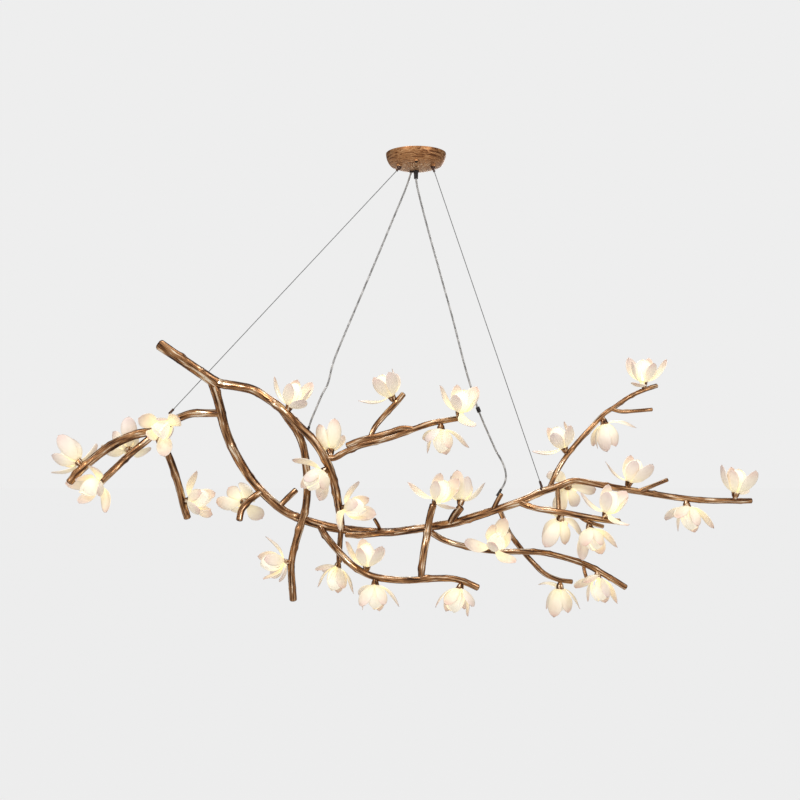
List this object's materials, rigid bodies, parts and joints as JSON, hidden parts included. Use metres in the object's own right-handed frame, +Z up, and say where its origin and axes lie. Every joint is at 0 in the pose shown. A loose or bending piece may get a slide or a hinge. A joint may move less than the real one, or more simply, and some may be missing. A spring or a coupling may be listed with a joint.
{
  "type": "branch chandelier",
  "caption": "Wide branch-shaped chandelier: welded bronze boughs with lit porcelain magnolia flowers, hung on steel wires from a round ceiling canopy",
  "frame": {"origin": "on the ceiling, at the centre of the canopy and of the bracket's two ceiling slots", "axes": "+Z up, out of the ceiling bracket's top face; the view from the front looks along +Y with +X to the right"},
  "size_m": [1.7195, 0.3041, 1.1617],
  "materials": {
    "zinc_steel": "zinc plated",
    "brushed_bronze": "brushed and patinated bronze",
    "dark_steel": "blackened",
    "white_plastic": "satin",
    "black_rubber": "matt",
    "nickel": "dark nickel plated",
    "steel_wire": "stranded steel",
    "cast_bronze": "polished cast bronze with bark ridges",
    "cable_sleeve": "clear sleeve over grey cores",
    "holder_ceramic": "unglazed ceramic",
    "lamp_glow": "frosted, lit",
    "porcelain": "thin glazed porcelain, tinted pink at the tips"
  },
  "bodies": {
    "ceiling_mount": {"ceiling_bracket": "zinc_steel", "canopy": "brushed_bronze", "canopy_screws": "dark_steel", "led_driver": "white_plastic", "terminal_block": "white_plastic", "cord_gland": "black_rubber", "cord_grommet": "black_rubber", "wire_gripper_left": "nickel", "wire_gripper_right": "nickel"},
    "plunger_left": {"gripper_plunger_left": "nickel"},
    "plunger_right": {"gripper_plunger_right": "nickel"},
    "hanging_branches": {"steel_wire_left": "steel_wire", "steel_wire_right": "steel_wire", "wire_anchors": "cast_bronze", "power_cable_left": "cable_sleeve", "power_cable_right": "cable_sleeve", "cable_bead": "black_rubber", "cable_bushes": "black_rubber", "calyx_cups": "cast_bronze", "lamp_holders": "holder_ceramic", "led_lamps": "lamp_glow", "trunk": "cast_bronze", "upper_arch": "cast_bronze", "main_limb": "cast_bronze", "drooping_limb": "cast_bronze", "middle_limb": "cast_bronze", "middle_limb_twin": "cast_bronze", "middle_twig": "cast_bronze", "front_limb": "cast_bronze", "riser": "cast_bronze", "lower_limb": "cast_bronze", "rear_limb": "cast_bronze", "right_spur": "cast_bronze", "rising_limb": "cast_bronze", "left_bough": "cast_bronze", "left_outer_limb": "cast_bronze", "left_inner_limb": "cast_bronze", "left_drop_limb": "cast_bronze", "twigs_left": "cast_bronze", "twigs_middle": "cast_bronze", "twigs_right": "cast_bronze", "flowers_left_outer": "porcelain", "flower_left_inner": "porcelain", "flower_left_bough": "porcelain", "flower_left_drop": "porcelain", "flower_left_twig": "porcelain", "flowers_upper_arch": "porcelain", "flowers_middle_limb": "porcelain", "flowers_front_limb": "porcelain", "flower_hanging_twig": "porcelain", "flower_drooping_limb": "porcelain", "flower_riser": "porcelain", "flowers_main_limb": "porcelain", "flowers_main_tip": "porcelain", "flower_lower_limb": "porcelain", "flowers_rear_limb": "porcelain", "flowers_right_spur": "porcelain", "flowers_rising_limb": "porcelain"}
  },
  "joints": [
    {"name": "sway", "type": "hinge", "parent": "ceiling_mount", "child": "hanging_branches", "pos_m": [0, -0.022, -0.0487], "axis": [1, 0, 0], "range_deg": [-10, 10]},
    {"name": "plunger_left_push", "type": "slide", "parent": "ceiling_mount", "child": "plunger_left", "axis": [0.6833, 0, 0.7302], "range_m": [0, 0.002], "stiffness_N_per_m": 400, "springref_m": -0.002},
    {"name": "plunger_right_push", "type": "slide", "parent": "ceiling_mount", "child": "plunger_right", "axis": [-0.3226, 0, 0.9465], "range_m": [0, 0.002], "stiffness_N_per_m": 400, "springref_m": -0.002}
  ]
}
